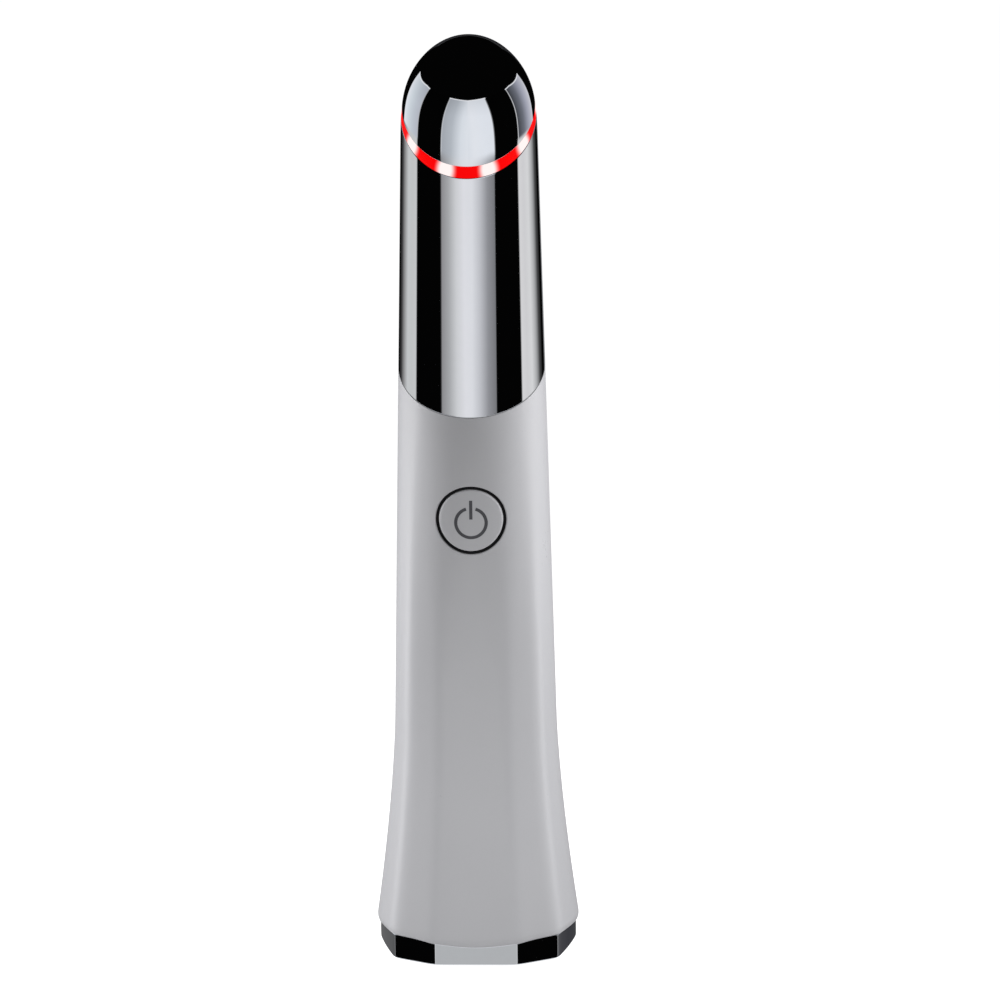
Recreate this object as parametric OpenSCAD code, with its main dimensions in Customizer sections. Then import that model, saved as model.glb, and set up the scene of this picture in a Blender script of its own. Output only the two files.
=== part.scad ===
// Heated eye massager wand. A chrome massage head, a lit ring and a chrome barrel
// stand on a satin grey casing that turns from round to eight-sided and flares to
// a chrome trimmed base. Millimetres, +Z up the wand, the button faces -Y, and the
// origin is the centre of the underside.

/* [Wand] */
// Height of the whole wand
wand_h = 140; // [139:0.5:142]
// Radius of the barrel where the dome begins
head_r = 10; // [9.9:0.05:10.2]
// Height of the domed end above the straight barrel
dome_h = 12.5; // [12:0.25:13]
// Growth of the radius per millimetre down the wand
taper = 0.0245; // [0.022:0.0005:0.026]

/* [Lit ring and seam] */
// Height of the lit ring's middle on the wand's axis
ring_z = 129.55; // [129:0.05:130]
// Tilt of the lit ring, front side low
ring_tilt = 38; // [36:0.5:39]
// Height of the lit ring, square to its own plane
ring_h = 1.28; // [1.2:0.02:1.4]
// Height of the seam between barrel and casing on the wand's axis
seam_z = 90.7; // [90:0.1:92]
// Tilt of that seam, front side low
seam_tilt = 26.5; // [22:0.5:28]

/* [Casing] */
// Wall of the casing
casing_wall = 1.6; // [1.4:0.1:1.7]
// Extra half width at the widest point of the foot
base_flare = 2.3; // [2:0.1:2.6]
// Height at which the flare begins
flare_z = 36; // [32:1:40]
// Depth over width where the casing is eight-sided
depth_ratio = 0.87; // [0.86:0.01:0.9]
// Height of the casing's lower edge
lip_z = 3.3; // [3.2:0.1:3.5]

/* [Button] */
// Height of the button's middle
button_z = 69.6; // [68:0.1:71]
// Radius of the button's cap
button_r = 4.75; // [4.6:0.05:4.8]
// Radius of the gasket round the cap
gasket_r = 5.2; // [5.1:0.05:5.3]
// Travel of the button
button_travel = 0.4; // [0.3:0.05:0.4]

/* [Hidden] */

$fn = 96;
smallest = 0.01;
running_gap = 0.05;
over = 1; // how far a cut runs past what it cuts
far = 40; // half size of a cut that takes everything on one side

// Colours
chrome = "#c9ccd0";
satin_grey = "#a9a9ad";
lit_red = "#ff1408";
black_plastic = "#1b1c1e";
rubber_black = "#121212";
board_green = "#1f5a37";
steel = "#9a9da1";
copper = "#b26a3a";

// Heights and radii that follow from the driving dimensions
dome_z = wand_h - dome_h;
head_wall = 1;
barrel_wall = 1.1;
ring_wall = 1.5;
bore_r = 8.9;
head_low = 115; // under everything that lies in the ring's planes
barrel_low = 80;
section_sides = 64;

// Facets of the casing: angle from the front, and distance over the half width
facets = [[0, depth_ratio], [34, 0.973], [62, 1.07], [90, 1]];
facet_angles = [0, 34, 62, 90, 118, 146, 180, 214, 242, 270, 298, 326];
soft_edge = 20;
crisp_edge = 60;
round_z = 86;
faceted_z = 40;
flare_power = 1.6;
widest_z = 5;

function tube_r(z) = head_r + taper * (dome_z - z);

function form_r(z, inset = 0) = z > dome_z
    ? (head_r - inset) * sqrt(max(0, 1 - pow((z - dome_z) / (dome_h - inset), 2)))
    : tube_r(z) - inset;

function half_w(z) = tube_r(z) + (z < flare_z
    ? base_flare * pow((flare_z - z) / (flare_z - widest_z), flare_power) : 0);

// How far the casing has turned from round to eight-sided, 0 to 1
function facet_share(z) = let (u = min(1, max(0, (round_z - z) / (round_z - faceted_z))))
    u * u * (3 - 2 * u);

function folded(a) = let (b = abs(a) % 180) b > 90 ? 180 - b : b;

// Distance to the edge of the unit eight-sided section at angle a from the front
function section_r(a, edge) =
    let (terms = [for (f = facet_angles) pow(max(0, cos(a - f)) / lookup(folded(f), facets), edge)])
    1 / pow(terms * [for (f = facet_angles) 1], 1 / edge);

function casing_r(a, z, inset) = let (share = facet_share(z))
    (half_w(z) - inset) * (1 - share + share * section_r(a, soft_edge));

function casing_point(a, z, inset) = let (r = casing_r(a, z, inset))
    [r * sin(a), -r * cos(a), z];

// Height of the seam's plane where the round tube meets it at angle a
function seam_height(a) = let (fall = cos(a) * tan(seam_tilt))
    seam_z - fall * tube_r(seam_z) / (1 - taper * fall);

function section_angles() = [for (i = [0:section_sides - 1]) i * 360 / section_sides];

// Closed skin over a stack of rings of points
module skin(rings) {
    count = len(rings[0]);
    last = len(rings) - 1;
    sides = [for (i = [0:last - 1]) for (j = [0:count - 1])
        let (a = i * count + j, b = i * count + (j + 1) % count)
        each [[a, a + count, b + count], [a, b + count, b]]];
    bottom = [for (j = [0:count - 1]) j];
    top = [for (j = [count - 1:-1:0]) last * count + j];
    polyhedron([for (ring = rings) each ring], concat([bottom], sides, [top]));
}

// Eight-sided prism with the foot's outline
module foot_prism(half_width, height, edge) {
    linear_extrude(height)
        polygon([for (a = section_angles()) half_width * section_r(a, edge) * [sin(a), -cos(a)]]);
}

// Places children in the lit ring's own plane
module in_ring_plane() {
    translate([0, 0, ring_z]) rotate([ring_tilt, 0, 0]) children();
}

// All space between two heights over the lit ring's plane
module ring_slab(low, high) {
    in_ring_plane() translate([-far, -far, low]) cube([2 * far, 2 * far, high - low]);
}

// The wand's round form, shrunk by an inset, from one height up
module round_form(low, inset = 0, largest = 99) {
    steps = 24;
    top = wand_h - inset;
    straight = low < dome_z ? [[min(largest, form_r(low, inset)), low]] : [];
    dome = [for (i = [0:steps - 1]) let (z = dome_z + (top - dome_z) * sin(90 * i / steps))
        [min(largest, form_r(z, inset)), z]];
    rotate_extrude() polygon(concat([[0, low]], straight, dome, [[0, top]]));
}

// Rod along +Y from y = start
module rod_y(r, start, length, x = 0, z = 0) {
    translate([x, start, z]) rotate([-90, 0, 0]) cylinder(r = r, h = length);
}

// Box given by its two corners
module block(low, high) {
    translate(low) cube(high - low);
}

// Straight wire between two points
module wire(from, to, r) {
    along = to - from;
    translate(from) rotate([0, acos(along[2] / norm(along)), atan2(along[1], along[0])])
        cylinder(r = r, h = norm(along), $fn = 24);
}

// Outline with two half-round ends, lying along X
module stadium(width, height) {
    square([width - height, height], center = true);
    for (side = [-1, 1]) translate([side * (width - height) / 2, 0]) circle(d = height);
}

// ---- Head ----

module massage_head() color(chrome) intersection() {
    difference() {
        round_form(head_low);
        round_form(head_low - over, head_wall);
    }
    ring_slab(ring_h / 2, far);
}

module light_ring() color(lit_red) intersection() {
    difference() {
        round_form(head_low);
        round_form(head_low - over, ring_wall);
    }
    ring_slab(-ring_h / 2, ring_h / 2);
}

// Planes that the boards and plates of the head lie in, over the ring's middle
led_size = [1.6, 0.9, 0.9];
led_count = 10;
led_inset = 0.75; // from the ring's inner wall to the middle of an LED
led_board_top = -led_size[2] / 2;
led_board_low = led_board_top - 0.8;
film_low = 1.6;
film_h = 0.6;
film_r = 5.2;
bead_r = 0.7;
plate_h = 1;
post_r = 4;
post_wall = 1;
post_root = 0.4; // how far the post starts inside the carrier
carrier_low = 106;

function ring_inner(a, r = 8) = let (better = form_r(ring_z - r * cos(a) * tan(ring_tilt), ring_wall))
    abs(better - r) < smallest ? better : ring_inner(a, better);

module led_board() color("#e8e8e4") difference() {
    intersection() {
        round_form(head_low, ring_wall + 2 * running_gap);
        ring_slab(led_board_low, led_board_top);
    }
    in_ring_plane() translate([0, 0, led_board_low - over])
        cylinder(r = post_r + running_gap, h = led_board_top - led_board_low + 2 * over);
}

module leds() color("#ffd9c8") for (i = [0:led_count - 1]) {
    a = (i + 0.5) * 360 / led_count;
    r = ring_inner(a) - led_inset;
    spot = [r * sin(a), -r * cos(a) / cos(ring_tilt)];
    in_ring_plane() translate([spot[0], spot[1], led_board_top])
        rotate(atan2(spot[1], spot[0]) + 90) translate([-led_size[0], -led_size[1], 0] / 2)
        cube(led_size);
}

module heater_plate() color("#c4c6c8") intersection() {
    round_form(head_low, head_wall + running_gap);
    ring_slab(film_low + film_h, film_low + film_h + plate_h);
}

module heater_film() color(copper) in_ring_plane()
    translate([0, 0, film_low]) cylinder(r = film_r, h = film_h);

module thermistor() color("#30343a") in_ring_plane()
    translate([0, 0, film_low - bead_r - running_gap]) sphere(r = bead_r, $fn = 32);

// ---- Vibration motor ----

boot_r = 4.6;
boot_h = 10.5;
boot_floor = 0.6;
motor_low = carrier_low + boot_floor;
motor_r = 3.45;
motor_h = 11;
motor_top = motor_low + motor_h;
weight_gap = 0.6;
weight_low = motor_top + weight_gap;
weight_h = 3.5;
weight_r = 3.1;
hub_r = 1.3;
shaft_r = 0.5;
shaft_inside = 5.6;
shaft_play = 0.4;
shaft_proud = 0.2;
shaft_low = motor_top - shaft_inside;
shaft_top = weight_low + weight_h + shaft_proud;
cavity_top = 122.6;

module head_carrier() color("#dedfdc") {
    difference() {
        intersection() {
            round_form(carrier_low, barrel_wall + running_gap, bore_r - running_gap);
            ring_slab(-2 * far, led_board_low);
        }
        translate([0, 0, carrier_low - over])
            cylinder(r = boot_r + running_gap, h = cavity_top - carrier_low + over);
        ribbon_way(carrier_low - over, wand_h);
    }
    in_ring_plane() difference() {
        translate([0, 0, led_board_low - post_root])
            cylinder(r = post_r, h = film_low - led_board_low + post_root);
        cylinder(r = post_r - post_wall, h = film_low + over);
    }
}

module motor_boot() color(rubber_black) difference() {
    translate([0, 0, carrier_low]) cylinder(r = boot_r, h = boot_h);
    translate([0, 0, carrier_low - over]) cylinder(r = motor_r, h = boot_h + 2 * over);
}

module motor_can() color(steel) difference() {
    translate([0, 0, motor_low]) cylinder(r = motor_r, h = motor_h);
    translate([0, 0, shaft_low - shaft_play])
        cylinder(r = shaft_r + running_gap, h = shaft_inside + shaft_play + over);
}

module motor_shaft() color("#d5d7d9")
    translate([0, 0, shaft_low]) cylinder(r = shaft_r, h = shaft_top - shaft_low);

module eccentric_weight() color("#8a8070") translate([0, 0, weight_low]) difference() {
    union() {
        cylinder(r = hub_r, h = weight_h);
        intersection() {
            cylinder(r = weight_r, h = weight_h);
            block([-far, -far, 0], [far, 0, weight_h]);
        }
    }
    translate([0, 0, -over]) cylinder(r = shaft_r, h = weight_h + 2 * over);
}

// ---- Barrel and casing ----

module upper_barrel() color(chrome) difference() {
    intersection() {
        round_form(barrel_low);
        ring_slab(-2 * far, -ring_h / 2);
    }
    round_form(barrel_low - over, barrel_wall, bore_r);
    below_seam();
}

// All space under the seam between the barrel and the casing
module below_seam() {
    translate([0, 0, seam_z]) rotate([seam_tilt, 0, 0])
        translate([-far, -far, -2 * far]) cube(2 * far);
}

// Rings of the casing's outside: the rolled lower edge, then even steps up to the seam
lip_rings = [[0, 0.45], [0.25, 0.2], [0.7, 0.05], [1.3, 0]];
body_rings = 18;
ring_crowding = 1.4;
body_low = lip_z + lip_rings[len(lip_rings) - 1][0];

function casing_outside() = concat(
    [for (lip = lip_rings) [for (a = section_angles()) casing_point(a, lip_z + lip[0], lip[1])]],
    [for (i = [1:body_rings]) let (share = pow(i / body_rings, ring_crowding))
        [for (a = section_angles()) let (z = body_low + share * (seam_height(a) - body_low))
            casing_point(a, z, 0)]]);

// Rings of the casing's hollow, up to the round bore
hollow_top = 78;
hollow_steps = 11;
hollow_over = 0.02; // share of the height by which the hollow runs out of the lower edge
bore_overlap = 5;

function casing_hollow() = [for (i = [-1:hollow_steps]) let (z = lip_z + (hollow_top - lip_z)
    * (i < 0 ? -hollow_over : pow(i / hollow_steps, ring_crowding)))
    [for (a = section_angles()) casing_point(a, z, casing_wall)]];

// The button's own place on the casing's front
function front_y(z) = -casing_r(0, z, 0);
button_lean = atan((front_y(button_z + button_r) - front_y(button_z - button_r)) / (2 * button_r));
cap_edge = casing_point(25, button_z, 0); // where the face's curve is taken
cap_sag = cap_edge[1] - front_y(button_z);
cap_face_r = (pow(cap_edge[0], 2) + pow(cap_sag, 2)) / (2 * cap_sag);
front_out = -20; // in front of everything
seat_y = -8;
seat_r = 6.2;
seat_depth = 5;
gasket_flange = 0.7;
gasket_flange_r = 6;
gasket_back = 0.12; // how far the gasket lies behind the casing's face
cap_flange_y = seat_y + gasket_flange + 0.1;
cap_flange = 0.8;
cap_flange_r = 5.5;
stem_r = 1.7;
stem_end = -6.2;

// Charging socket
port_size = [8.94, 3.26];
port_gap = 0.45;
charge_board_z = 10;
charge_board_h = 1;
port_z = charge_board_z + charge_board_h + port_size[1] / 2;
port_back = 4.5;
port_front = 11.8;
port_cut = [-3, 5]; // from the socket's mouth inwards and outwards

module lower_casing() color(satin_grey) difference() {
    skin(casing_outside());
    skin(casing_hollow());
    translate([0, 0, hollow_top - bore_overlap]) cylinder(r = bore_r, h = far);
    rod_y(gasket_r, front_out, seat_y - front_out + over, z = button_z);
    rod_y(seat_r, seat_y, seat_depth, z = button_z);
    translate([0, port_front + port_cut[0], port_z]) rotate([-90, 0, 0])
        linear_extrude(port_cut[1] - port_cut[0])
        stadium(port_size[0] + port_gap, port_size[1] + port_gap);
}

// Everything behind the casing's front surface at the button, set back by a depth
module behind_face(depth) {
    translate([0, front_y(button_z) + cap_face_r + depth, button_z])
        rotate([-button_lean, 0, 0]) translate([0, 0, -far / 2])
        cylinder(r = cap_face_r, h = far, $fn = 200);
}

module button_gasket() color(rubber_black) difference() {
    union() {
        intersection() {
            rod_y(gasket_r, front_out, seat_y - front_out, z = button_z);
            behind_face(gasket_back);
        }
        rod_y(gasket_flange_r, seat_y, gasket_flange, z = button_z);
    }
    rod_y(button_r + running_gap, front_out, seat_y - front_out + seat_depth, z = button_z);
}

// Outline of the power symbol: a ring open at the top, and a bar
symbol_r = 2.25;
symbol_line = 0.5;
symbol_depth = 0.25;
symbol_gap = 0.7;
symbol_drop = 0.35;
bar_low = 0.2;
bar_high = 3.1;

module symbol_outline() {
    translate([0, -symbol_drop]) difference() {
        circle(r = symbol_r + symbol_line / 2);
        circle(r = symbol_r - symbol_line / 2);
        translate([-symbol_gap, 0]) square([2 * symbol_gap, 2 * symbol_r]);
    }
    translate([-symbol_line / 2, bar_low]) square([symbol_line, bar_high - bar_low]);
}

module symbol_prism() {
    translate([0, seat_y, button_z]) rotate([90, 0, 0])
        linear_extrude(seat_y - front_out) symbol_outline();
}

module power_symbol() color("#3c3c40") difference() {
    intersection() {
        symbol_prism();
        behind_face(0);
    }
    behind_face(symbol_depth);
}

module power_button() color(satin_grey) {
    difference() {
        intersection() {
            rod_y(button_r, front_out, cap_flange_y - front_out, z = button_z);
            behind_face(0);
        }
        difference() {
            symbol_prism();
            behind_face(symbol_depth);
        }
    }
    rod_y(cap_flange_r, cap_flange_y, cap_flange, z = button_z);
    rod_y(stem_r, cap_flange_y, stem_end - cap_flange_y, z = button_z);
}

// ---- Boards, battery and chassis ----

board_front = -4;
board_back = -3;
board_half_w = 6.5;
board_low = 20;
board_top = 79;
switch_front = -5.6;
switch_half = 3;
plunger_r = 1.5;
plunger_h = 1.2;
plunger_well = 1.2;
screw_zs = [24, 57];
board_screw_r = 0.6;
board_screw_h = 2.2;
screw_head = [1.2, 0.7]; // radius and height

module switch_body() color(black_plastic) difference() {
    block([-switch_half, switch_front, button_z - switch_half],
        [switch_half, board_front, button_z + switch_half]);
    rod_y(plunger_r + running_gap, switch_front - over, plunger_well + over, z = button_z);
}

module switch_plunger() color("#e9e6dc")
    rod_y(plunger_r, stem_end, plunger_h, z = button_z);

module main_board() color(board_green) difference() {
    block([-board_half_w, board_front, board_low], [board_half_w, board_back, board_top]);
    for (z = screw_zs)
        rod_y(board_screw_r + running_gap, board_front - over, board_back - board_front + 2 * over, z = z);
}

// Chips on the board's front: x, z, width, height and thickness
chips = [[0, 45, 5, 5, 0.9], [-3.6, 36, 3, 3, 0.8], [3, 33, 4, 4, 1.8], [3.8, 51, 2.4, 3, 0.8],
    [-3.8, 52, 2, 3.4, 0.7], [-3, 28.5, 3.2, 2.4, 1.2]];

module board_chips() color(black_plastic) for (c = chips)
    block([c[0] - c[2] / 2, board_front - c[4], c[1] - c[3] / 2],
        [c[0] + c[2] / 2, board_front, c[1] + c[3] / 2]);

connector = [3, -7, 3]; // half width, front and height

module ribbon_connector() color("#e6e2d6")
    block([-connector[0], connector[1], board_top - connector[2]], [connector[0], board_front, board_top]);

ribbon_y = [-6.85, -6.65];
ribbon_half_w = 2;
ribbon_room = [0.2, 0.15]; // gap at the ribbon's edges and faces

module ribbon_way(low, high) {
    block([-ribbon_half_w - ribbon_room[0], ribbon_y[0] - ribbon_room[1], low],
        [ribbon_half_w + ribbon_room[0], ribbon_y[1] + ribbon_room[1], high]);
}

module head_ribbon() color(copper) intersection() {
    block([-ribbon_half_w, ribbon_y[0], board_top], [ribbon_half_w, ribbon_y[1], wand_h]);
    ring_slab(-2 * far, led_board_low);
}

module board_screws() color(steel) for (z = screw_zs) {
    rod_y(screw_head[0], board_front - screw_head[1], screw_head[1], z = z);
    rod_y(board_screw_r, board_front - smallest, board_screw_h, z = z);
}

battery_r = 5;
battery_y = 3.6;
battery_low = 18;
battery_h = 44;
terminal = [1.8, 0.6]; // radius and height of the raised end
lead_r = 0.4;
lead_low = [2.6, 1.6, 0.2]; // sideways, depth, and height over the battery
lead_top = [2.2, -2.45, 76.6];
motor_lead_r = 0.35;
motor_lead_low = [1.2, -3.5, 0.15]; // the last is the height over the board
motor_lead_top = [1, -1.6, 0.1]; // the last is the gap under the motor

module battery() color("#2f5f8f") translate([0, battery_y, battery_low]) {
    cylinder(r = battery_r, h = battery_h);
    cylinder(r = terminal[0], h = battery_h + terminal[1]);
}

module battery_leads() for (side = [-1, 1]) color(side > 0 ? "#b3261e" : "#202020")
    wire([side * lead_low[0], lead_low[1], battery_low + battery_h + lead_low[2]],
        [side * lead_top[0], lead_top[1], lead_top[2]], lead_r);

module motor_leads() for (side = [-1, 1]) color(side > 0 ? "#b3261e" : "#26439a")
    wire([side * motor_lead_low[0], motor_lead_low[1], board_top + motor_lead_low[2]],
        [side * motor_lead_top[0], motor_lead_top[1], motor_low - motor_lead_top[2]], motor_lead_r);

neck_low = barrel_low;
neck_bore = 7.3;
neck_floor = carrier_low - 1.5;
wire_hole = [-1.6, 2.6]; // place and radius of the motor leads' hole
spine_half_w = 7.6;
spine_back = -1.6;
spine_top = 82;
spine_window = [3.6, 70]; // half width and lower end
cradle_half_w = 6.2;
cradle_depth = 2.6;
cradle_zs = [24, 52];
cradle_h = 4;
foot_low = 8;
foot_half = [9, 8.5];
stand_x = 6.2;
stand_r = 2;
plate_low = 1;
plate_top = 2.2;
groove_r = 7.95;
groove_h = 1.3;
seal_zs = [84.2, 100];
seal_middle_r = 8.42;
seal_r = 0.44;
base_screw_r = 0.75;
base_screw_h = 8.5;
base_head = [1.6, 0.65]; // radius and height

module chassis() color(black_plastic) {
    difference() {
        union() {
            translate([0, 0, neck_low]) difference() {
                cylinder(r = bore_r - running_gap, h = carrier_low - neck_low);
                translate([0, 0, -over]) cylinder(r = neck_bore, h = neck_floor - neck_low + over);
            }
            block([-spine_half_w, board_back, foot_low], [spine_half_w, spine_back, spine_top]);
            for (z = cradle_zs)
                block([-cradle_half_w, spine_back, z], [cradle_half_w, cradle_depth, z + cradle_h]);
            block([-foot_half[0], -foot_half[1], foot_low], [foot_half[0], foot_half[1], charge_board_z]);
        }
        for (z = seal_zs) translate([0, 0, z - groove_h / 2]) difference() {
            cylinder(r = bore_r + over, h = groove_h);
            translate([0, 0, -over]) cylinder(r = groove_r, h = groove_h + 2 * over);
        }
        translate([0, battery_y, battery_low - over])
            cylinder(r = battery_r + running_gap, h = battery_h + 2 * over);
        block([-spine_window[0], board_back - over, spine_window[1]],
            [spine_window[0], spine_back + over, spine_top + over]);
        translate([0, wire_hole[0], neck_floor - over])
            cylinder(r = wire_hole[1], h = carrier_low - neck_floor + 2 * over);
        ribbon_way(neck_floor - over, carrier_low + over);
        for (z = screw_zs)
            rod_y(board_screw_r, board_back - over, spine_back - board_back + 2 * over, z = z);
        for (side = [-1, 1]) translate([side * stand_x, 0, foot_low - over])
            cylinder(r = base_screw_r, h = charge_board_z - foot_low + 2 * over);
    }
    for (side = [-1, 1]) translate([side * stand_x, 0, plate_top]) difference() {
        cylinder(r = stand_r, h = foot_low - plate_top);
        translate([0, 0, -over]) cylinder(r = base_screw_r, h = foot_low - plate_top + 2 * over);
    }
}

module neck_seals() color("#2b2b2b") for (z = seal_zs) translate([0, 0, z])
    rotate_extrude() translate([seal_middle_r, 0]) circle(r = seal_r, $fn = 32);

charge_board_y = [-1.4, 9.2];
socket_wall = 0.3;
tongue_half = [3.3, 0.35];

module charge_board() color(board_green)
    block([-board_half_w, charge_board_y[0], charge_board_z],
        [board_half_w, charge_board_y[1], charge_board_z + charge_board_h]);

module usb_socket() color(steel) translate([0, port_back, port_z]) rotate([-90, 0, 0]) difference() {
    linear_extrude(port_front - port_back) stadium(port_size[0], port_size[1]);
    translate([0, 0, over]) linear_extrude(port_front - port_back)
        stadium(port_size[0] - 2 * socket_wall, port_size[1] - 2 * socket_wall);
}

module usb_tongue() color(black_plastic)
    block([-tongue_half[0], port_back + over, port_z - tongue_half[1]],
        [tongue_half[0], port_front - over, port_z + tongue_half[1]]);

// ---- Base ----

trim_low = 0.4;
trim_half_w = 14.95;
trim_in = 12.9;
ledge_in = 11.6;
tongue_out = 13.4;
tongue_top = 6;
pad_gap = 0.3; // between the trim and the pad

module base_trim() color(chrome) difference() {
    union() {
        translate([0, 0, trim_low]) foot_prism(trim_half_w, lip_z - trim_low, crisp_edge);
        translate([0, 0, lip_z - over]) foot_prism(tongue_out, tongue_top - lip_z + over, soft_edge);
    }
    translate([0, 0, trim_low - over]) foot_prism(trim_in, plate_top - trim_low + over, soft_edge);
    translate([0, 0, plate_top - over]) foot_prism(ledge_in, tongue_top, soft_edge);
}

module base_plate() color(black_plastic) difference() {
    translate([0, 0, plate_low]) foot_prism(trim_in - running_gap, plate_top - plate_low, soft_edge);
    for (side = [-1, 1]) translate([side * stand_x, 0, 0]) {
        cylinder(r = base_head[0] + running_gap, h = plate_low + base_head[1]);
        cylinder(r = base_screw_r + running_gap, h = plate_top + over);
    }
}

module base_screws() color(steel) for (side = [-1, 1]) translate([side * stand_x, 0, plate_low]) {
    cylinder(r = base_head[0], h = base_head[1]);
    cylinder(r = base_screw_r, h = base_screw_h);
}

module base_pad() color(rubber_black)
    foot_prism(trim_in - pad_gap, plate_low, soft_edge);

massage_head();
light_ring();
upper_barrel();
lower_casing();
button_gasket();
power_button();
power_symbol();
switch_body();
switch_plunger();
main_board();
board_chips();
ribbon_connector();
head_ribbon();
board_screws();
chassis();
neck_seals();
battery();
battery_leads();
charge_board();
usb_socket();
usb_tongue();
base_trim();
base_plate();
base_screws();
base_pad();
head_carrier();
led_board();
leds();
heater_plate();
heater_film();
thermistor();
motor_boot();
motor_can();
motor_leads();
motor_shaft();
eccentric_weight();
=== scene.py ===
import math

import bmesh
import bpy
import numpy as np
from mathutils import Matrix, Vector


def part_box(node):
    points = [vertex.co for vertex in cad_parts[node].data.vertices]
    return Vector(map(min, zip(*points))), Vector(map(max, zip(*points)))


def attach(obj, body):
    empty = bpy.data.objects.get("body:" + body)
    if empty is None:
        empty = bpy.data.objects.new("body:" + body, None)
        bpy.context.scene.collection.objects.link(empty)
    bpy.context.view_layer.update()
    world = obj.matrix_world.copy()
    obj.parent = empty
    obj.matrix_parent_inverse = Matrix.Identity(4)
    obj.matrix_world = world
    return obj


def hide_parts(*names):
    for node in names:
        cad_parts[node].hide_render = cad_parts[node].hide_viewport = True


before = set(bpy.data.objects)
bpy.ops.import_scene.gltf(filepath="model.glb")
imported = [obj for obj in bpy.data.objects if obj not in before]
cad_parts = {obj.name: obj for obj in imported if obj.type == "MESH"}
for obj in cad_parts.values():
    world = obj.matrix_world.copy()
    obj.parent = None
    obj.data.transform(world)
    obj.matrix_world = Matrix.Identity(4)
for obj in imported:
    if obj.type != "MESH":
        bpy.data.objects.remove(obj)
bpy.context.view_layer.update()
mm = 0.001

# The wand's own form, in mm: every outer surface below follows these rules
wand = dict(
    height=140.0,
    headR=10.0,  # of the straight form where the dome begins
    domeH=12.5,
    domeStart=129.3,  # middle of the dome's soft onset
    domeSoft=2.0,  # how gradually it begins
    domePower=1.8,
    straightTo=122.5,  # height up to which the barrel keeps straight sides
    straightFade=5.0,  # height over which they then turn into the dome
    taper=0.0245,  # radius gained per mm down the wand
    footFlare=2.3,  # extra half width at the widest point
    flareZ=36.0,
    widestZ=5.0,
    flarePower=1.6,
    roundZ=86.0,  # round above, eight-sided below the next height
    facetedZ=40.0,
    facets={0: 0.858, 26: 0.954, 70: 0.997, 78: 0.981},  # how far out each flat of a quarter lies
    softEdge=28,
    crispEdge=60,
    creaseA=26.0,  # the crease beside the front and rear flats is crisper than the others
    creaseWide=11.0,
    creaseTop=64.0,
    creaseLow=16.0,
    columns=216,
)
domeZ = wand["height"] - wand["domeH"]
ringPlane = dict(z=129.55, tilt=math.radians(38))  # front side low
seamPlane = dict(z=90.7, tilt=math.radians(26.5))
around = np.arange(wand["columns"]) * 360 / wand["columns"]


def smooth(u):
    u = np.clip(u, 0, 1)
    return u * u * (3 - 2 * u)


def tubeR(z):
    return wand["headR"] + wand["taper"] * (domeZ - z)


def onset(z):
    return wand["domeSoft"] * np.log1p(np.exp((z - wand["domeStart"]) / wand["domeSoft"]))


def formR(z, inset=0.0):  # the round form of head and barrel, straight at first and then domed
    up = np.clip(onset(z) / onset(wand["height"] - inset), 0, 1) ** wand["domePower"]
    return (tubeR(z) - inset) * np.sqrt(1 - up)


def barrelR(z, inset=0.0):  # dead straight up to the ring's low side, then into the dome
    straight = tubeR(z) - inset
    return straight + (formR(z, inset) - straight) * smooth((z - wand["straightTo"]) / wand["straightFade"])


def halfWidth(z):
    flare = np.clip((wand["flareZ"] - z) / (wand["flareZ"] - wand["widestZ"]), 0, None)
    return tubeR(z) + wand["footFlare"] * flare ** wand["flarePower"]


def nearFlats():  # bearing and distance of the flats that shape one quarter, and those just past its ends
    for f, distance in wand["facets"].items():
        for bearing in sorted({f, -f if f < 45 else 180 - f}):
            yield bearing, distance


def quarter(a):  # a in degrees from the front, folded into the first quarter
    return 90 - np.abs(90 - np.abs(a) % 180)


def flatsR(a, edge):  # how far out the flats reach
    total = 0
    for f, distance in nearFlats():
        total = total + (np.clip(np.cos(np.radians(quarter(a) - f)), 0, None) / distance) ** edge
    return total ** (-1 / edge)


def casingR(a, z, inset=0.0):
    share = smooth((wand["roundZ"] - z) / (wand["roundZ"] - wand["facetedZ"]))
    near = np.exp(-((quarter(a) - wand["creaseA"]) / wand["creaseWide"]) ** 2)
    down = np.clip((wand["creaseTop"] - z) / (wand["creaseTop"] - wand["creaseLow"]), 0, 1)
    edge = wand["softEdge"] + (wand["crispEdge"] - wand["softEdge"]) * near * down
    section = flatsR(a, edge) / flatsR(90.0, wand["softEdge"])
    return (halfWidth(z) - inset) * (1 - share + share * section)


def polar(a, r, z):  # a in degrees from the front (-Y) towards +X
    turn = np.radians(a)
    return np.stack(np.broadcast_arrays(r * np.sin(turn), -r * np.cos(turn), z), -1)


def onFace(x, z, side, inset=0.0):  # point of the casing's front (side 1) or rear (side -1)
    a = np.zeros_like(x)
    for _ in range(12):
        a = np.degrees(np.arcsin(np.clip(x / casingR(a if side > 0 else 180 - a, z, inset), -1, 1)))
    r = casingR(a if side > 0 else 180 - a, z, inset)
    return np.stack([x, -side * r * np.cos(np.radians(a)), z], -1)


def alongPlane(a, plane, offset, inset=0.0, radius=formR):  # where a form meets a slanted plane
    z = np.full(np.shape(a), plane["z"])
    middle = plane["z"] + offset / math.cos(plane["tilt"])
    for _ in range(50):
        z = middle - radius(z, inset) * np.cos(np.radians(a)) * math.tan(plane["tilt"])
    return polar(a, radius(z, inset), z)


def arc(steps):  # quarter turn in even steps, as pairs of (how far along, how far in)
    turn = np.linspace(0, math.pi / 2, steps)
    return list(zip(1 - np.cos(turn), 1 - np.sin(turn)))


def newObject(name, data):
    made = bpy.data.objects.new(name, data)
    bpy.context.scene.collection.objects.link(made)
    return made


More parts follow.
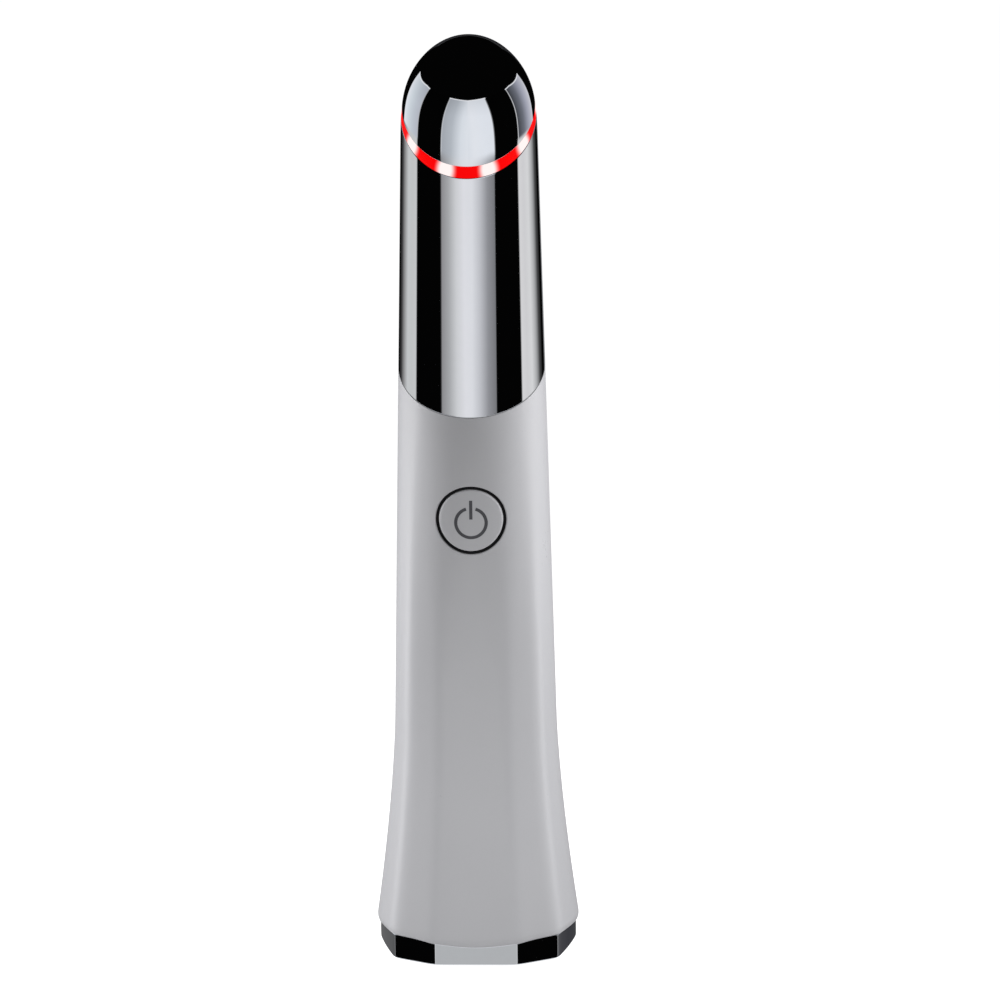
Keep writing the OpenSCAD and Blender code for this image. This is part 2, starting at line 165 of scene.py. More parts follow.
def clean(mesh):  # merges doubles and turns the faces outwards
    shape = bmesh.new()
    shape.from_mesh(mesh)
    bmesh.ops.remove_doubles(shape, verts=shape.verts, dist=1e-7)
    bmesh.ops.recalc_face_normals(shape, faces=shape.faces)
    shape.to_mesh(mesh)
    shape.free()


class Skin:  # rows of points in mm, and the faces between the rows
    def __init__(self):
        self.points = []
        self.faces = []

    def row(self, points):
        first = len(self.points)
        self.points.extend(np.asarray(points, float).tolist())
        return list(range(first, len(self.points)))

    def strip(self, low, high):
        for i in range(len(low)):
            j = (i + 1) % len(low)
            self.faces.append((low[i], low[j], high[j], high[i]))
        return high

    def stack(self, rows):  # many rows at once, returns the numbers of each
        made = [self.row(points) for points in rows]
        for low, high in zip(made, made[1:]):
            self.strip(low, high)
        return made

    def fan(self, row, point):
        tip = self.row([point])[0]
        for i in range(len(row)):
            self.faces.append((row[i], row[(i + 1) % len(row)], tip))

    def cap(self, *rows):  # one flat face over each row
        self.faces += [tuple(row) for row in rows]

    def piece(self, name):
        mesh = bpy.data.meshes.new(name)
        mesh.from_pydata([[c * mm for c in p] for p in self.points], [], self.faces)
        clean(mesh)
        return newObject(name, mesh)


def settle(piece, body, slot, finish, *nodes, sharp=40):  # finish a piece, put it under its body's empty and hide the CAD nodes that it replaces
    piece.data.materials.clear()
    piece.data.materials.append(finishes[finish])
    piece.data.shade_smooth()
    piece.data.set_sharp_from_angle(angle=math.radians(sharp))
    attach(piece, body)
    if nodes:
        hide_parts(*nodes)


# Materials

def linear(hexColour, alpha=1.0):  # sRGB hex to the linear colour that Blender works in
    parts = [int(hexColour[i:i + 2], 16) / 255 for i in (1, 3, 5)]
    return [c / 12.92 if c <= 0.04045 else ((c + 0.055) / 1.055) ** 2.4 for c in parts] + [alpha]


def blank(owner):  # the node tree of a material or world, emptied
    owner.use_nodes = True
    owner.node_tree.nodes.clear()
    return owner.node_tree


def add(tree, kind, inputs=(), **settings):
    # one node with its settings and links: an operation follows the kind after a dot, and inputs are
    # a list in the node's own order or a dictionary by name or number
    kind, _, operation = kind.partition(".")
    made = tree.nodes.new(kind if "Node" in kind else "ShaderNode" + kind)
    made.location = (220 * (len(tree.nodes) % 9), -260 * (len(tree.nodes) // 9))
    if operation:
        made.operation = operation
    for name, value in settings.items():
        setattr(made, name, value)
    for name, value in (inputs if isinstance(inputs, dict) else dict(enumerate(inputs))).items():
        if isinstance(value, bpy.types.Node):
            value = next(out for out in value.outputs if out.enabled)
        if isinstance(value, bpy.types.NodeSocket):
            tree.links.new(value, made.inputs[name])
        else:
            made.inputs[name].default_value = value
    return made


def nodeOf(tree, kind):
    return next(node for node in tree.nodes if node.type == kind)


# What the finishes share: mm between lighter and darker patches, the noise's usual range, the roughness
# of a clear coat, and how many mm light goes into a milky film
surface = dict(cloud=9.0, noise=(0.3, 0.7), coatRough=0.05, filmDepth=0.4)
options = dict(metal="Metallic", ior="IOR", gloss="Specular IOR Level", coat="Coat Weight",
               film="Subsurface Weight")


def finishOf(name, look):  # moulded, plated or woven surface from one dictionary
    material = bpy.data.materials.new(name)
    tree = blank(material)
    place = add(tree, "TexCoord").outputs["Object"]
    grain = add(tree, "TexNoise", {"Vector": place, "Scale": 1 / (look["grain"] * mm), "Detail": 3.0})
    cloud = add(tree, "TexNoise", {"Vector": place, "Scale": 1 / (surface["cloud"] * mm), "Detail": 2.0})
    both = add(tree, "Math.ADD", [grain.outputs[0], cloud.outputs[0]])
    both = add(tree, "Math.MULTIPLY", [both, 0.5])
    tint = add(tree, "Mix", {0: both, 6: linear(look["colour"][0]), 7: linear(look["colour"][1])},
               data_type="RGBA")
    rough = add(tree, "MapRange", [both, *surface["noise"], *look["rough"]])
    bump = add(tree, "Bump", {"Height": grain.outputs[0], "Distance": look["bump"] * mm, "Strength": 1.0})
    shade = add(tree, "BsdfPrincipled", {"Base Color": tint.outputs[2], "Roughness": rough, "Normal": bump})
    for option, label in options.items():
        if option in look:
            shade.inputs[label].default_value = look[option]
    if "coat" in look:
        shade.inputs["Coat Roughness"].default_value = surface["coatRough"]
    if "film" in look:
        shade.inputs["Subsurface Radius"].default_value = (1.0, 1.0, 1.0)
        shade.inputs["Subsurface Scale"].default_value = surface["filmDepth"] * mm
    add(tree, "OutputMaterial", [shade.outputs[0]])
    return material


looks = {
    # chromium plate on polished brass and ABS: a cool mirror, with the faintest uneven haze
    "polishedChrome": dict(colour=("#dcdee2", "#d6d8dc"), rough=(0.015, 0.035), metal=1.0,
                           grain=1.2, bump=0.0001),
    # ABS moulded, sprayed silver grey and satin lacquered: soft wide highlights, fine grain
    "satinSilver": dict(colour=("#a9a9ac", "#a4a4a7"), rough=(0.27, 0.32), grain=0.30, bump=0.0015,
                        ior=1.5),
    # black silicone, pressed: dull, slightly dusty
    "blackSilicone": dict(colour=("#050506", "#0b0b0c"), rough=(0.45, 0.58), grain=0.25, bump=0.002,
                          ior=1.41, gloss=0.2),
    # two-part ink filled into the cap: dark, a little softer than the lacquer round it
    "markInk": dict(colour=("#343438", "#3d3d41"), rough=(0.40, 0.50), grain=0.15, bump=0.001, ior=1.5),
    # black glass-filled nylon, moulded: dull with a visible flow grain
    "blackNylon": dict(colour=("#1a1b1d", "#222326"), rough=(0.45, 0.60), grain=0.5, bump=0.006, ior=1.53),
    # natural nylon of connectors and plungers: warm white, slightly waxy
    "creamNylon": dict(colour=("#e6e2d6", "#ddd8ca"), rough=(0.35, 0.45), grain=0.4, bump=0.002, ior=1.53),
    # glass epoxy laminate under green solder mask: glossy, with the weave just felt
    "greenLaminate": dict(colour=("#1f5a37", "#184a2d"), rough=(0.20, 0.30), grain=0.45, bump=0.004,
                          ior=1.55, coat=0.4),
    # aluminium-backed board under white solder mask
    "whiteLaminate": dict(colour=("#e9e9e5", "#dfdfda"), rough=(0.22, 0.32), grain=0.45, bump=0.002,
                          ior=1.55, coat=0.3),
    # epoxy moulding compound of chips: charcoal, matt, sandy
    "chipEpoxy": dict(colour=("#232427", "#2d2e31"), rough=(0.55, 0.68), grain=0.12, bump=0.004, ior=1.55),
    # polyimide film over copper: amber, smooth
    "polyimideFilm": dict(colour=("#b26a3a", "#a2592b"), rough=(0.18, 0.28), grain=0.6, bump=0.001,
                          ior=1.7, coat=0.5),
    # steel wire, cold headed and zinc plated: bluish and slightly cloudy
    "zincSteel": dict(colour=("#b4b9c0", "#a4a9b0"), rough=(0.24, 0.38), metal=1.0, grain=0.4, bump=0.002),
    # white acetal, machined: milky, low sheen
    "whiteAcetal": dict(colour=("#e0e1de", "#d7d8d4"), rough=(0.30, 0.42), grain=0.5, bump=0.002,
                        ior=1.48, film=0.1),
    # steel can in a blue shrink sleeve: glossy film over a cylinder
    "shrinkSleeve": dict(colour=("#2f5f8f", "#28557f"), rough=(0.18, 0.26), grain=0.8, bump=0.002,
                         ior=1.53, coat=0.4),
    # nickel plated drawn steel: warm grey metal with light draw marks
    "nickelSteel": dict(colour=("#b5b4ae", "#a5a49e"), rough=(0.18, 0.30), metal=1.0, grain=0.35, bump=0.001),
    # sintered tungsten: dark, dull metal, gritty
    "sinteredTungsten": dict(colour=("#8a8478", "#7a756b"), rough=(0.45, 0.58), metal=1.0, grain=0.15,
                             bump=0.004),
    # rolled aluminium spreader: bright, lightly brushed
    "rolledAluminium": dict(colour=("#d2d4d6", "#c4c6c8"), rough=(0.25, 0.36), metal=1.0, grain=0.3,
                            bump=0.001),
    # gold flash over nickel on contacts
    "goldFlash": dict(colour=("#e2bd66", "#d4ad56"), rough=(0.16, 0.26), metal=1.0, grain=0.2, bump=0.0005),
    # clear silicone over a phosphor tinted package
    "ledPackage": dict(colour=("#ffdccb", "#f6c9b4"), rough=(0.20, 0.30), grain=0.3, bump=0.001, ior=1.46,
                       film=0.2),
}
finishes = {name: finishOf(name, look) for name, look in looks.items()}

# Lead insulation: PVC, one red and one dark lead told apart by the side they run on
for name, pair in {"leadSleeve": ("#202023", "#b3261e"), "motorSleeve": ("#26439a", "#b3261e")}.items():
    finishes[name] = finishOf(name, dict(colour=pair, rough=(0.3, 0.4), grain=0.5, bump=0.001, ior=1.53))
    tree = finishes[name].node_tree
    split = add(tree, "SeparateXYZ", [nodeOf(tree, "TEX_COORD").outputs["Object"]])
    which = add(tree, "Math.GREATER_THAN", [split.outputs["X"], 0.0])
    tree.links.new(which.outputs[0], nodeOf(tree, "MIX").inputs[0])

# Red acrylic light guide: ten LEDs show through it as white-hot spots in a saturated glow
diffuser = dict(
    red="#f40002",
    hot="#fff6f4",
    glow=1.0,  # emission strength, so that red reads as it is written
    leds=10,
    gloss=0.12,
    spotWidth=1.25,  # mm along the ring
    spotHeight=1.6,  # mm across it
    spotEdge=(0.12, 0.72),  # where a spot has faded out, and where it is fully white
)


def redDiffuser():
    material = finishOf("redDiffuser", dict(colour=("#5a0503", "#4c0403"), rough=(0.45, 0.52), grain=0.5,
                                            bump=0.0005, ior=1.30, gloss=diffuser["gloss"]))
    tree = material.node_tree
    inPlane = add(tree, "Mapping", {
        "Vector": nodeOf(tree, "TEX_COORD").outputs["Object"], "Location": (0, 0, ringPlane["z"] * mm),
        "Rotation": (ringPlane["tilt"], 0, 0)}, vector_type="TEXTURE")
    split = add(tree, "SeparateXYZ", [inPlane])
    back = add(tree, "Math.MULTIPLY", [split.outputs["Y"], -math.cos(ringPlane["tilt"])])
    turn = add(tree, "Math.ARCTAN2", [split.outputs["X"], back])
    lamp = add(tree, "Math.MULTIPLY", [turn, diffuser["leds"] / (2 * math.pi)])
    off = add(tree, "Math.SUBTRACT", [add(tree, "Math.FRACT", [lamp]), 0.5])
    pitch = 2 * math.pi * wand["headR"] / diffuser["leds"]  # mm between LEDs along the ring
    along = add(tree, "Math.MULTIPLY", [off, pitch / diffuser["spotWidth"]])
    across = add(tree, "Math.MULTIPLY", [split.outputs["Z"], 1 / (diffuser["spotHeight"] * mm)])
    far = add(tree, "Math.MULTIPLY_ADD", [across, across, add(tree, "Math.MULTIPLY", [along, along])])
    hot = add(tree, "Math.EXPONENT", [add(tree, "Math.MULTIPLY", [far, -1.0])])
    hot = add(tree, "MapRange", [hot, *diffuser["spotEdge"], 0.0, 1.0], interpolation_type="SMOOTHSTEP")
    glow = add(tree, "Mix", {0: hot, 6: linear(diffuser["red"]), 7: linear(diffuser["hot"])},
               data_type="RGBA")
    shade = nodeOf(tree, "BSDF_PRINCIPLED")
    tree.links.new(glow.outputs[2], shade.inputs["Emission Color"])
    shade.inputs["Emission Strength"].default_value = diffuser["glow"]
    return material


finishes["redDiffuser"] = redDiffuser()
print("finishes ready:", len(finishes))

# Camera: the photograph's view
view = dict(azimuth=1.786, elevation=15.761, roll=-0.589, distance=675.437, target=(3.982, 0, 69.668),
            lens=162.442, sensor=36, near=0.01, far=20)


def toward(bearing, height):  # direction away from the wand, in degrees from the front and the horizon
    turn, up = math.radians(bearing), math.radians(height)
    return Vector((math.sin(turn) * math.cos(up), -math.cos(turn) * math.cos(up), math.sin(up)))


def aimCamera():
    back, roll = toward(view["azimuth"], view["elevation"]), math.radians(view["roll"])
    right = (-back).cross(Vector((0, 0, 1))).normalized()
    over = right.cross(-back)
    right, over = (math.cos(roll) * right + math.sin(roll) * over,
                   -math.sin(roll) * right + math.cos(roll) * over)
    camera = newObject("camera", bpy.data.cameras.new("camera"))
    camera.data.lens = view["lens"]
    camera.data.sensor_width = view["sensor"]
    camera.data.clip_start = view["near"]
    camera.data.clip_end = view["far"]
    spot = Vector(view["target"]) * mm + back * view["distance"] * mm
    camera.matrix_world = Matrix.Translation(spot) @ Matrix((right, over, back)).transposed().to_4x4()
    bpy.context.scene.camera = camera


aimCamera()
bpy.context.scene.view_settings.view_transform = "Standard"

# Studio: soft lamps for the paint, and for the gloss white windows between black flags.
# Bearings in degrees from the front towards +X, heights in degrees over the horizon
studio = dict(
    belts=[
        # bright floor in front of everything
        dict(start=-90, soft=1.0, lean=(0, 0), pivot=0, windows=[(-180, 180, "", ["#e4e5e7"])]),
        # what the foot's trim mirrors
        dict(start=-30, soft=2.0, lean=(0, 0), pivot=0, windows=[
            (-170, -104, "#d8d8d8", ["#6a6a6a", "#626262", "#5e5e5e", "#727272"]),
            (-24, 24, "#ffffff", ["#c3c4c4"]),
            (104, 170, "#ffffff", ["#7c7c7c", "#5a5a5c", "#404044", "#484848"])]),
        # what the barrel mirrors
        dict(start=-16, soft=1.0, lean=(0, -1.25), pivot=-9.9, windows=[
            (-154, -95.8, "", ["#0a0a0a", "#464546", "#a09f9e", "#d9dad9", "#d7d8d5", "#dcdcda"]),
            (-46, 42.5, "", ["#9a9899", "#bababa", "#e4e4e4", "#f6f5f7", "#f3f3f5", "#d4d4d7", "#a0a0a3",
                             "#848486"]),
            (90.2, 152, "", ["#eeecea", "#e6e4e3", "#edecea", "#bebebd", "#505050", "#0c0c0c"]),
            (167, 180, "", ["#8c8c8e"]), (-180, -167, "", ["#8c8c8e"])]),
        # what the dome mirrors
        dict(start=-8.6, soft=0.25, lean=(-0.42, 0.42), pivot=0, windows=[
            (-137, -91.6, "#ffffff", ["#f6f8fc", "#e4ebef", "#d4dae0", "#c9ccd4"]),
            (-42.8, 41.8, "#ffffff", ["#b6babf", "#c6cbd0", "#f0f4f8", "#fafcff", "#f8fbff", "#f6f9fd"]),
            (89.8, 136.8, "#ffffff", ["#484a4f", "#787b84", "#b4b5c2", "#d8d8df"]),
            (167, 180, "", ["#2c2c2e"]), (-180, -167, "", ["#2c2c2e"])]),
    ],
    flag="#040404",
    flagEdge=0.5,  # degrees over which a window ends in a flag
    edge=1.2,  # width of a window's bright edge, in degrees
    top=[(0, 22.0), (40, 24.0), (90, 25.0), (135, 18.5), (180, 18.5)],  # height of the windows' top edge
    topSoft=0.3,
    rim=(0.8, 1.4),  # the bright line under the top edge fades out between these depths, in degrees
    rimTones=(0.02, 0.08),  # no bright line over tones as dark as the flags
    rimStrength=0.9,
    dim=(4.0, 24.0, 0.84),  # the windows fade a little between these heights
    strength=1.10,
    fill=0.48,  # light on the paint from all round
    lamps={  # bearing, height, distance, size and aimed height in metres, and light on a surface there
        "left": (-100, 3, 0.14, 0.08, 0.07, 1.15), "lowLeft": (-100, 3, 0.14, 0.08, 0.02, 0.41),
        "right": (100, 3, 0.14, 0.08, 0.07, 1.03), "highRight": (85, 3, 0.14, 0.08, 0.11, 0.56),
        "front": (0, 0, 0.08, 0.05, 0.03, 0.35)},
    floor="#b8b8b8",
    floorHalf=4.0,
    whiteness=0.79,  # lift that brings the lit floor to white for the camera
)


def windowStops(belt):  # bearings and tones of one belt, for a colour ramp
    stops = []
    for start, end, edge, tones in sorted(belt["windows"]):
        inset = studio["edge"] if edge else 0.0
        if start > -180:
            stops.append((start - studio["flagEdge"], studio["flag"]))
        if edge:
            stops.append((start, edge))
        tones = tones * 2 if len(tones) == 1 else tones
        stops += zip(np.linspace(start + inset, end - inset, len(tones)), tones)
        if edge:
            stops.append((end, edge))
        if end < 180:
            stops.append((end + studio["flagEdge"], studio["flag"]))
    return stops


def setCurve(node, stops):  # straight lines through these points
    points = node.mapping.curves[0].points
    for where, level in stops[1:-1]:
        points.new(where, level)
    points[0].location, points[-1].location = stops[0], stops[-1]
    for point in points:
        point.handle_type = "VECTOR"
    node.mapping.update()


def buildStudio():
    world = bpy.data.worlds.new("studio")
    bpy.context.scene.world = world
    tree = blank(world)
    world.cycles.sampling_method = "NONE"
    aim = add(tree, "SeparateXYZ", [add(tree, "TexCoord").outputs["Generated"]])
    front = add(tree, "Math.MULTIPLY", [aim.outputs["Y"], -1.0])
    bearing = add(tree, "Math.DEGREES", [add(tree, "Math.ARCTAN2", [aim.outputs["X"], front])])
    height = add(tree, "Math.DEGREES", [add(tree, "Math.ARCSINE", [aim.outputs["Z"]])])
    onRight = add(tree, "Math.GREATER_THAN", [bearing, 0.0])
    toned = None
    for belt in studio["belts"]:
        lean = add(tree, "MapRange", {"Value": onRight, "To Min": belt["lean"][0], "To Max": belt["lean"][1]})
        above = add(tree, "Math.SUBTRACT", [height, belt["pivot"]])
        slid = add(tree, "Math.MULTIPLY_ADD", [above, lean, bearing])
        tones = add(tree, "ValToRGB", [add(tree, "MapRange", [slid, -180.0, 180.0, 0.0, 1.0])])
        elements = tones.color_ramp.elements
        elements.remove(elements[1])
        for number, (where, tone) in enumerate(windowStops(belt)):
            spot = (where + 180) / 360
            element = elements[0] if number == 0 else elements.new(spot)
            element.position = spot
            element.color = linear(tone)
        if toned is None:
            toned = tones.outputs[0]
        else:
            share = add(tree, "MapRange", {
                "Value": height, "From Min": belt["start"] - belt["soft"],
                "From Max": belt["start"] + belt["soft"]}, interpolation_type="SMOOTHSTEP")
            toned = add(tree, "Mix", {0: share, 6: toned, 7: tones.outputs[0]}, data_type="RGBA").outputs[2]
    away = add(tree, "Math.DIVIDE", [add(tree, "Math.ABSOLUTE", [bearing]), 180.0])
    edge = add(tree, "FloatCurve", {"Value": away})
    setCurve(edge, [(where / 180, top / 90) for where, top in studio["top"]])
    under = add(tree, "Math.SUBTRACT", [add(tree, "Math.MULTIPLY", [edge, 90.0]), height])
    seen = add(tree, "MapRange", [under, -studio["topSoft"], studio["topSoft"], 0.0, 1.0],
               interpolation_type="SMOOTHSTEP")
    rim = add(tree, "MapRange", [under, *studio["rim"], 1.0, 0.0], interpolation_type="SMOOTHSTEP")
    lit = add(tree, "MapRange", [toned, *studio["rimTones"], 0.0, studio["rimStrength"]])
    rim = add(tree, "Math.MULTIPLY", [rim, lit])
    low, high, dimmest = studio["dim"]
    dim = add(tree, "MapRange", [height, low, high, 1.0, dimmest])
    dimmed = add(tree, "VectorMath.SCALE", {0: toned, "Scale": dim})
    lined = add(tree, "Mix", {0: rim, 6: dimmed, 7: linear("#ffffff")}, data_type="RGBA")
    mirrored = add(tree, "Mix", {0: seen, 6: linear(studio["flag"]), 7: lined.outputs[2]}, data_type="RGBA")
    path = add(tree, "LightPath").outputs
    gloss = add(tree, "Background", [mirrored.outputs[2], studio["strength"]])
    diffuse = add(tree, "Background", [linear("#ffffff"), studio["fill"]])
    white = add(tree, "Background", [linear("#ffffff"), 1.0])
    shown = add(tree, "MixShader", [path["Is Glossy Ray"], diffuse, gloss])
    clear = add(tree, "Math.MAXIMUM", [path["Is Camera Ray"], path["Is Transmission Ray"]])
    add(tree, "OutputWorld", [add(tree, "MixShader", [clear, shown, white])])


def hangLamps():
    for name, (bearing, height, distance, size, aimed, light) in studio["lamps"].items():
        away = toward(bearing, height)
        lamp = bpy.data.lights.new(name, "AREA")
        lamp.shape = "DISK"
        lamp.size = size
        lamp.energy = light * (math.pi * distance) ** 2  # light 1 shows a colour as it is written
        holder = newObject(name, lamp)
        holder.matrix_world = (Matrix.Translation(Vector((0, 0, aimed)) + away * distance)
                               @ away.to_track_quat("Z", "Y").to_matrix().to_4x4())
        holder.visible_glossy = False
        holder.visible_camera = False


def buildFloor():
    half = studio["floorHalf"]
    mesh = bpy.data.meshes.new("studioFloor")
    mesh.from_pydata([(-half, -half, 0), (half, -half, 0), (half, half, 0), (-half, half, 0)], [],
                     [(0, 1, 2, 3)])
    floor = newObject("studioFloor", mesh)
    floor.visible_glossy = False
    material = bpy.data.materials.new("paintedFloor")
    tree = blank(material)
    camera = add(tree, "LightPath").outputs["Is Camera Ray"]
    paint = add(tree, "BsdfDiffuse", [linear(studio["floor"])])
    lift = add(tree, "Math.MULTIPLY", [camera, studio["whiteness"]])
    glow = add(tree, "Emission", [linear("#ffffff"), lift])
    add(tree, "OutputMaterial", [add(tree, "AddShader", [paint, glow])])
    mesh.materials.append(material)


buildStudio()
hangLamps()
buildFloor()
print("studio ready")

# Head, lit ring and barrel: turned from the same round form, cut by the two slanted planes
head = dict(rows=64, innerRows=16, wall=1.0, rimRound=0.06, gap=0.03, ringH=1.28, ringWall=1.5,
            ringRound=0.07, barrelRows=30, boreRows=9, barrelWall=1.1, bore=8.9, seamRound=0.13,
            seamGap=0.005, shadeRow=0.001)  # a first and last row this close keep the rims' shading short
ringHalf = head["ringH"] / 2
ringClear = ringHalf + head["gap"]


def rimRows(a, plane, offset, size, facing, radius=formR, steps=5):
    # rounded rim that starts on the surface and ends square to the plane; facing is the piece's side
    return [alongPlane(a, plane, offset + facing * size * inwards, size * along, radius)
            for along, inwards in arc(steps)]


def domeward(z):  # crowds the rows towards the dome's top
    up = (z - domeZ) / wand["domeH"]
    return np.where(z > domeZ, np.arcsin(np.clip(up, 0, 1)), up)


def between(low, high, radius, rows):  # rows of the form between two known rows
    a = np.degrees(np.arctan2(low[:, 0], -low[:, 1]))
    start, end = domeward(low[:, 2]), domeward(high[:, 2]) if high is not None else math.pi / 2
    made = []
    for share in [head["shadeRow"], *np.arange(1, rows) / rows, 1 - head["shadeRow"]]:
        beta = start + (end - start) * share
        z = domeZ + wand["domeH"] * np.where(beta > 0, np.sin(beta), beta)
        made.append(polar(a, radius(z), z))
    return made


def makeHead():
    skin = Skin()
    rim = rimRows(around, ringPlane, ringClear, head["rimRound"], 1)
    outer = skin.stack(rim[::-1] + between(rim[0], None, formR, head["rows"]))
    skin.fan(outer[-1], (0, 0, wand["height"]))
    wall = head["wall"]
    inner = [alongPlane(around, ringPlane, ringClear, wall)]
    top = wand["height"] - wall
    start = inner[0][:, 2]
    for share in np.sin(np.linspace(0, math.pi / 2, head["innerRows"]))[1:-1]:
        z = start + (top - start) * share
        inner.append(polar(around, formR(z, wall), z))
    inside = skin.stack(inner)
    skin.fan(inside[-1], (0, 0, top))
    skin.strip(outer[0], inside[0])
    settle(skin.piece("massageHeadShell"), "wand", "polished_chrome", "polishedChrome", "massage_head")


def makeRing():
    skin = Skin()
    low = rimRows(around, ringPlane, -ringHalf, head["ringRound"], 1, steps=4)
    high = rimRows(around, ringPlane, ringHalf, head["ringRound"], -1, steps=4)
    middle = [alongPlane(around, ringPlane, share * (ringHalf - head["ringRound"]))
              for share in (-0.5, 0, 0.5)]
    inner = [alongPlane(around, ringPlane, side * ringHalf, head["ringWall"]) for side in (1, -1)]
    rows = skin.stack(low[::-1] + middle + high + inner)
    skin.strip(rows[-1], rows[0])
    settle(skin.piece("litRing"), "wand", "red_diffuser", "redDiffuser", "light_ring")


def boreR(z, inset=0.0):  # stays inside the barrel's wall where the dome draws in
    return np.minimum(barrelR(z) - head["barrelWall"], head["bore"]) - inset


def makeBarrel():
    skin = Skin()
    low = rimRows(around, seamPlane, head["seamGap"], head["seamRound"], 1, barrelR)
    high = rimRows(around, ringPlane, -ringClear, head["rimRound"], -1, barrelR)
    rows = low[::-1] + between(low[0], high[0], barrelR, head["barrelRows"]) + high
    topIn = alongPlane(around, ringPlane, -ringClear, 0, boreR)
    lowIn = alongPlane(around, seamPlane, head["seamGap"], 0, boreR)
    for share in np.linspace(0, 1, head["boreRows"]):
        z = topIn[:, 2] * (1 - share) + lowIn[:, 2] * share
        rows.append(polar(around, boreR(z), z))
    made = skin.stack(rows)
    skin.strip(made[-1], made[0])
    settle(skin.piece("barrelTube"), "wand", "polished_chrome", "polishedChrome", "upper_barrel")


makeHead()
makeRing()
makeBarrel()
print("head, ring and barrel ready")

# Casing: one lofted shell with the button's bore in front and the charging port behind
casing = dict(
    rows=96,
    lastRow=0.9995,  # keeps the shading of the seam's rim short
    wall=1.6,
    bore=8.9,
    boreZ=78.0,
    lipZ=3.7,
    lipArch=0.45,  # the lower edge dips at the flats and rises between them
    lipInset=0.45,
    lipH=1.2,
    seamRound=0.02,
)
button = dict(z=69.6, capR=4.75, boreR=5.2, boreRound=0.16, seatY=-8.0, seatR=6.2, capRound=0.28,
              columns=128, gasketBack=0.2, gasketRound=0.1, flangeH=0.7, capFlangeR=5.5, capFlangeH=0.8,
              stemR=1.7, stemEnd=-6.2, capGap=0.05, boreGap=0.01, flangeGap=0.1, seatGap=0.2,
              rings=(0.1, 0.25, 0.4, 0.55, 0.7, 0.82, 0.92, 1.0), faceBearing=25.0)
port = dict(z=12.63, width=8.94, height=3.26, gap=0.45, edge=0.2, mouthY=11.8, backY=4.5)


def stadium(turn, width, height, grow=0.0):  # outline with straight sides and round ends, or a circle
    r = height / 2 + grow
    s = (width - height) / 2
    c, n = np.cos(turn), np.sin(turn)
    flat = r / np.maximum(np.abs(n), 1e-9)
    bow = s * np.abs(c) + np.sqrt(np.clip(r * r - (s * n) ** 2, 0, None))
    reach = np.where(flat * np.abs(c) <= s, flat, bow)
    return np.stack([reach * c, reach * n], -1)


holes = [  # middle, half the window that is left out of the grid, side, width and height, and rounding
    dict(centre=(0.0, button["z"]), half=(7.2, 7.0), side=1, size=(2 * button["boreR"], 2 * button["boreR"]),
         edge=button["boreRound"]),
    dict(centre=(0.0, port["z"]), half=(6.6, 3.9), side=-1,
         size=(port["width"] + port["gap"], port["height"] + port["gap"]), edge=port["edge"]),
]
patchShares = (0.22, 0.44, 0.62, 0.76, 0.86, 0.93, 0.97, 1.0)


def patchRows(skin, loop, turn, hole, edge, inset):
    # rows that turn a window of the grid into the outline of its hole
    centre = np.array(hole["centre"])
    start = np.array([skin.points[i] for i in loop])[:, [0, 2]] - centre
    end = stadium(turn, *hole["size"], edge)
    last = loop
    for share in patchShares:
        flat = centre + start * (1 - share) + end * share
        points = onFace(flat[:, 0], flat[:, 1], hole["side"], inset)
        if inset and hole["side"] > 0:  # flat seat for the gasket
            close = np.hypot(*(flat - centre).T) < button["seatR"] + button["capGap"]
            points[close, 1] = np.minimum(points[close, 1], button["seatY"])
        last = skin.strip(last, skin.row(points))
    return last, points[:, 1]


def cutHole(skin, outer, inner, place, hole):  # opens both walls and joins them, returns the quads left out
    (cx, cz), (wx, wz) = hole["centre"], hole["half"]
    middle = wand["columns"] // 4 if hole["side"] > 0 else 3 * wand["columns"] // 4
    reach = 1
    row = int(np.argmin(np.abs(place[:, middle, 2] - cz)))
    while abs(place[row, middle + reach, 0]) < wx:
        reach += 1
    first = int(np.argmax(place[:, middle, 2] > cz - wz))
    final = int(np.argmax(place[:, middle, 2] > cz + wz))
    i0, i1 = middle - reach, middle + reach
    path = [(first, i) for i in range(i0, i1)] + [(j, i1) for j in range(first, final)]
    path += [(final, i) for i in range(i1, i0, -1)] + [(j, i0) for j in range(final, first, -1)]
    loopOut = [outer[j][i] for j, i in path]
    flat = np.array([skin.points[i] for i in loopOut])[:, [0, 2]] - (cx, cz)
    turn = np.arctan2(flat[:, 1], flat[:, 0])
    last, depth = patchRows(skin, loopOut, turn, hole, hole["edge"], 0.0)
    for along, inwards in arc(6)[1:]:  # rounded edge, then the bore itself
        mouth = np.array([cx, cz]) + stadium(turn, *hole["size"], hole["edge"] * inwards)
        y = depth + hole["side"] * hole["edge"] * along
        last = skin.strip(last, skin.row(np.stack([mouth[:, 0], y, mouth[:, 1]], -1)))
    inLast, _ = patchRows(skin, [inner[j][i] for j, i in path], turn, hole, 0.0, casing["wall"])
    skin.strip(last, inLast)
    return slice(first, final), slice(i0, i1)


